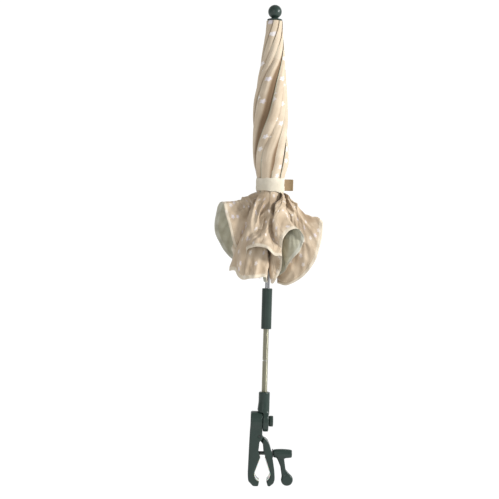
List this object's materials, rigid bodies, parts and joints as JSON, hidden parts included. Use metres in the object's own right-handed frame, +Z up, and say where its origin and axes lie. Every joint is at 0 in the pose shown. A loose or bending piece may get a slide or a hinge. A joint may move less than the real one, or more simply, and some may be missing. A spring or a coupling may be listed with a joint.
{
  "type": "folding parasol with clamp",
  "caption": "Small folded parasol, tied with a strap, on a chrome mast with a bending neck, a push-button tilting head and a two-jaw screw clamp with a lever knob.",
  "frame": {"origin": "centre of the tube that the jaws hold, at half the jaws' depth", "axes": "+Z up the mast to the ball on top, Y along the held tube, +X towards the clamp's knob"},
  "size_m": [0.176, 0.176, 0.7914],
  "materials": {
    "green_plastic": "satin dark grey-green moulding",
    "black_plastic": "satin black moulding",
    "pad": "pale grey translucent soft pad",
    "steel": "plain steel",
    "chrome": "polished",
    "neck_metal": "dull olive coil",
    "cloth": "sand woven cloth with small pale flowers, grey-green inside",
    "strap": "sand woven band",
    "tab": "dark brown band end"
  },
  "bodies": {
    "clamp_base": {"fixed_jaw": "green_plastic", "fixed_pad": "pad", "screw_nut": "steel", "jaw_pin": "steel"},
    "jaw": {"swing_jaw": "green_plastic", "swing_pad": "pad"},
    "washer": {"thrust_washer": "steel"},
    "knob": {"clamp_screw": "steel", "lever_knob": "green_plastic"},
    "button": {"head_button": "green_plastic", "clutch_plate": "black_plastic", "button_spring": "steel"},
    "head": {"socket": "green_plastic", "hub_clip": "steel", "ferrule_low": "neck_metal", "neck_core_low": "steel", "neck_coil_low": "neck_metal"},
    "neck": {"neck_core_mid": "steel"},
    "mast": {"neck_coil_high": "neck_metal", "neck_core_high": "steel", "ferrule_high": "neck_metal", "sleeve": "black_plastic", "shaft": "chrome", "crown": "black_plastic", "crown_pins": "steel", "collar": "green_plastic", "finial": "green_plastic"},
    "runner": {"runner": "black_plastic", "catch_pin": "steel"},
    "catch": {"catch_lever": "green_plastic"},
    "rib_1": {"rib_1": "steel"},
    "strut_1": {"strut_1": "steel"},
    "gore_1": {"gore_1": "cloth"},
    "rib_2": {"rib_2": "steel"},
    "strut_2": {"strut_2": "steel"},
    "gore_2": {"gore_2": "cloth"},
    "rib_3": {"rib_3": "steel"},
    "strut_3": {"strut_3": "steel"},
    "gore_3": {"gore_3": "cloth"},
    "rib_4": {"rib_4": "steel"},
    "strut_4": {"strut_4": "steel"},
    "gore_4": {"gore_4": "cloth"},
    "rib_5": {"rib_5": "steel"},
    "strut_5": {"strut_5": "steel"},
    "gore_5": {"gore_5": "cloth"},
    "rib_6": {"rib_6": "steel"},
    "strut_6": {"strut_6": "steel"},
    "gore_6": {"gore_6": "cloth"},
    "rib_7": {"rib_7": "steel"},
    "strut_7": {"strut_7": "steel"},
    "gore_7": {"gore_7": "cloth"},
    "rib_8": {"rib_8": "steel", "tie_strap": "strap", "strap_tab": "tab"},
    "strut_8": {"strut_8": "steel"},
    "gore_8": {"gore_8": "cloth"}
  },
  "joints": [
    {"name": "jaw_swing", "type": "hinge", "parent": "clamp_base", "child": "jaw", "pos_m": [-0.0065, 0, 0.06147], "axis": [0, 1, 0], "range_deg": [-10, 7]},
    {"name": "washer_slide", "type": "slide", "parent": "clamp_base", "child": "washer", "axis": [-1, 0, 0], "range_m": [-0.00501, 0.00351]},
    {"name": "knob_turn", "type": "hinge", "parent": "washer", "child": "knob", "pos_m": [0, 0, 0.03267], "axis": [-1, 0, 0], "range_deg": [-1800, 1260]},
    {"name": "button_press", "type": "slide", "parent": "clamp_base", "child": "button", "axis": [-1, 0, 0], "range_m": [0, 0.003], "stiffness_N_per_m": 600, "springref_m": -0.002, "deforming": ["button_spring"]},
    {"name": "head_tilt", "type": "hinge", "parent": "clamp_base", "child": "head", "pos_m": [0, 0, 0.08547], "axis": [1, 0, 0], "range_deg": [-90, 90]},
    {"name": "neck_bend_side", "type": "hinge", "parent": "head", "child": "neck", "pos_m": [0, 0, 0.1598], "axis": [0, 1, 0], "range_deg": [-60, 60], "deforming": ["neck_coil_low"]},
    {"name": "neck_bend_fore", "type": "hinge", "parent": "neck", "child": "mast", "pos_m": [0, 0, 0.21085], "axis": [1, 0, 0], "range_deg": [-60, 60], "deforming": ["neck_coil_high"]},
    {"name": "runner_slide", "type": "slide", "parent": "mast", "child": "runner", "axis": [0, 0, 1], "range_m": [0, 0.28406]},
    {"name": "catch_press", "type": "hinge", "parent": "runner", "child": "catch", "pos_m": [0.0058, 0, 0.39199], "axis": [0, 1, 0], "range_deg": [0, 7], "stiffness_Nm_per_rad": 0.01, "springref_deg": -2.86},
    {"name": "rib_1_swing", "type": "hinge", "parent": "mast", "child": "rib_1", "pos_m": [0.00739, 0.00306, 0.73797], "axis": [0.3827, -0.9239, 0], "range_deg": [-0.5, 82.5]},
    {"name": "strut_1_swing", "type": "hinge", "parent": "rib_1", "child": "strut_1", "pos_m": [0.00739, 0.00306, 0.57298], "axis": [0.3827, -0.9239, 0], "range_deg": [-165, 1]},
    {"name": "gore_1_fan", "type": "hinge", "parent": "rib_1", "child": "gore_1", "pos_m": [0.00739, 0.00306, 0.74605], "axis": [0.9003, 0.4352, 0], "range_deg": [-0.5, 45.04], "deforming": ["gore_1"]},
    {"name": "rib_2_swing", "type": "hinge", "parent": "mast", "child": "rib_2", "pos_m": [0.00306, 0.00739, 0.73797], "axis": [0.9239, -0.3827, 0], "range_deg": [-0.5, 82.5]},
    {"name": "strut_2_swing", "type": "hinge", "parent": "rib_2", "child": "strut_2", "pos_m": [0.00306, 0.00739, 0.57298], "axis": [0.9239, -0.3827, 0], "range_deg": [-165, 1]},
    {"name": "gore_2_fan", "type": "hinge", "parent": "rib_2", "child": "gore_2", "pos_m": [0.00306, 0.00739, 0.74605], "axis": [0.3289, 0.9444, 0], "range_deg": [-0.5, 45.04], "deforming": ["gore_2"]},
    {"name": "rib_3_swing", "type": "hinge", "parent": "mast", "child": "rib_3", "pos_m": [-0.00306, 0.00739, 0.73797], "axis": [0.9239, 0.3827, 0], "range_deg": [-0.5, 82.5]},
    {"name": "strut_3_swing", "type": "hinge", "parent": "rib_3", "child": "strut_3", "pos_m": [-0.00306, 0.00739, 0.57298], "axis": [0.9239, 0.3827, 0], "range_deg": [-165, 1]},
    {"name": "gore_3_fan", "type": "hinge", "parent": "rib_3", "child": "gore_3", "pos_m": [-0.00306, 0.00739, 0.74605], "axis": [-0.4352, 0.9003, 0], "range_deg": [-0.5, 45.04], "deforming": ["gore_3"]},
    {"name": "rib_4_swing", "type": "hinge", "parent": "mast", "child": "rib_4", "pos_m": [-0.00739, 0.00306, 0.73797], "axis": [0.3827, 0.9239, 0], "range_deg": [-0.5, 82.5]},
    {"name": "strut_4_swing", "type": "hinge", "parent": "rib_4", "child": "strut_4", "pos_m": [-0.00739, 0.00306, 0.57298], "axis": [0.3827, 0.9239, 0], "range_deg": [-165, 1]},
    {"name": "gore_4_fan", "type": "hinge", "parent": "rib_4", "child": "gore_4", "pos_m": [-0.00739, 0.00306, 0.74605], "axis": [-0.9444, 0.3289, 0], "range_deg": [-0.5, 45.04], "deforming": ["gore_4"]},
    {"name": "rib_5_swing", "type": "hinge", "parent": "mast", "child": "rib_5", "pos_m": [-0.00739, -0.00306, 0.73797], "axis": [-0.3827, 0.9239, 0], "range_deg": [-0.5, 82.5]},
    {"name": "strut_5_swing", "type": "hinge", "parent": "rib_5", "child": "strut_5", "pos_m": [-0.00739, -0.00306, 0.57298], "axis": [-0.3827, 0.9239, 0], "range_deg": [-165, 1]},
    {"name": "gore_5_fan", "type": "hinge", "parent": "rib_5", "child": "gore_5", "pos_m": [-0.00739, -0.00306, 0.74605], "axis": [-0.9003, -0.4352, 0], "range_deg": [-0.5, 45.04], "deforming": ["gore_5"]},
    {"name": "rib_6_swing", "type": "hinge", "parent": "mast", "child": "rib_6", "pos_m": [-0.00306, -0.00739, 0.73797], "axis": [-0.9239, 0.3827, 0], "range_deg": [-0.5, 82.5]},
    {"name": "strut_6_swing", "type": "hinge", "parent": "rib_6", "child": "strut_6", "pos_m": [-0.00306, -0.00739, 0.57298], "axis": [-0.9239, 0.3827, 0], "range_deg": [-165, 1]},
    {"name": "gore_6_fan", "type": "hinge", "parent": "rib_6", "child": "gore_6", "pos_m": [-0.00306, -0.00739, 0.74605], "axis": [-0.3289, -0.9444, 0], "range_deg": [-0.5, 45.04], "deforming": ["gore_6"]},
    {"name": "rib_7_swing", "type": "hinge", "parent": "mast", "child": "rib_7", "pos_m": [0.00306, -0.00739, 0.73797], "axis": [-0.9239, -0.3827, 0], "range_deg": [-0.5, 82.5]},
    {"name": "strut_7_swing", "type": "hinge", "parent": "rib_7", "child": "strut_7", "pos_m": [0.00306, -0.00739, 0.57298], "axis": [-0.9239, -0.3827, 0], "range_deg": [-165, 1]},
    {"name": "gore_7_fan", "type": "hinge", "parent": "rib_7", "child": "gore_7", "pos_m": [0.00306, -0.00739, 0.74605], "axis": [0.4352, -0.9003, 0], "range_deg": [-0.5, 45.04], "deforming": ["gore_7"]},
    {"name": "rib_8_swing", "type": "hinge", "parent": "mast", "child": "rib_8", "pos_m": [0.00739, -0.00306, 0.73797], "axis": [-0.3827, -0.9239, 0], "range_deg": [-0.5, 82.5], "deforming": ["tie_strap", "strap_tab"]},
    {"name": "strut_8_swing", "type": "hinge", "parent": "rib_8", "child": "strut_8", "pos_m": [0.00739, -0.00306, 0.57298], "axis": [-0.3827, -0.9239, 0], "range_deg": [-165, 1]},
    {"name": "gore_8_fan", "type": "hinge", "parent": "rib_8", "child": "gore_8", "pos_m": [0.00739, -0.00306, 0.74605], "axis": [0.9444, -0.3289, 0], "range_deg": [-0.5, 45.04], "deforming": ["gore_8"]}
  ],
  "couplings": [
    {"joint": "washer_slide", "follows": "knob_turn", "m_per_rad": 0.00015915},
    {"joint": "jaw_swing", "follows": "knob_turn", "ratio": 0.0055262},
    {"joint": "rib_1_swing", "follows": "runner_slide", "rad_per_m": 5.0383},
    {"joint": "strut_1_swing", "follows": "runner_slide", "rad_per_m": -10.077},
    {"joint": "gore_1_fan", "follows": "runner_slide", "rad_per_m": 2.7365},
    {"joint": "rib_2_swing", "follows": "runner_slide", "rad_per_m": 5.0383},
    {"joint": "strut_2_swing", "follows": "runner_slide", "rad_per_m": -10.077},
    {"joint": "gore_2_fan", "follows": "runner_slide", "rad_per_m": 2.7365},
    {"joint": "rib_3_swing", "follows": "runner_slide", "rad_per_m": 5.0383},
    {"joint": "strut_3_swing", "follows": "runner_slide", "rad_per_m": -10.077},
    {"joint": "gore_3_fan", "follows": "runner_slide", "rad_per_m": 2.7365},
    {"joint": "rib_4_swing", "follows": "runner_slide", "rad_per_m": 5.0383},
    {"joint": "strut_4_swing", "follows": "runner_slide", "rad_per_m": -10.077},
    {"joint": "gore_4_fan", "follows": "runner_slide", "rad_per_m": 2.7365},
    {"joint": "rib_5_swing", "follows": "runner_slide", "rad_per_m": 5.0383},
    {"joint": "strut_5_swing", "follows": "runner_slide", "rad_per_m": -10.077},
    {"joint": "gore_5_fan", "follows": "runner_slide", "rad_per_m": 2.7365},
    {"joint": "rib_6_swing", "follows": "runner_slide", "rad_per_m": 5.0383},
    {"joint": "strut_6_swing", "follows": "runner_slide", "rad_per_m": -10.077},
    {"joint": "gore_6_fan", "follows": "runner_slide", "rad_per_m": 2.7365},
    {"joint": "rib_7_swing", "follows": "runner_slide", "rad_per_m": 5.0383},
    {"joint": "strut_7_swing", "follows": "runner_slide", "rad_per_m": -10.077},
    {"joint": "gore_7_fan", "follows": "runner_slide", "rad_per_m": 2.7365},
    {"joint": "rib_8_swing", "follows": "runner_slide", "rad_per_m": 5.0383},
    {"joint": "strut_8_swing", "follows": "runner_slide", "rad_per_m": -10.077},
    {"joint": "gore_8_fan", "follows": "runner_slide", "rad_per_m": 2.7365}
  ]
}
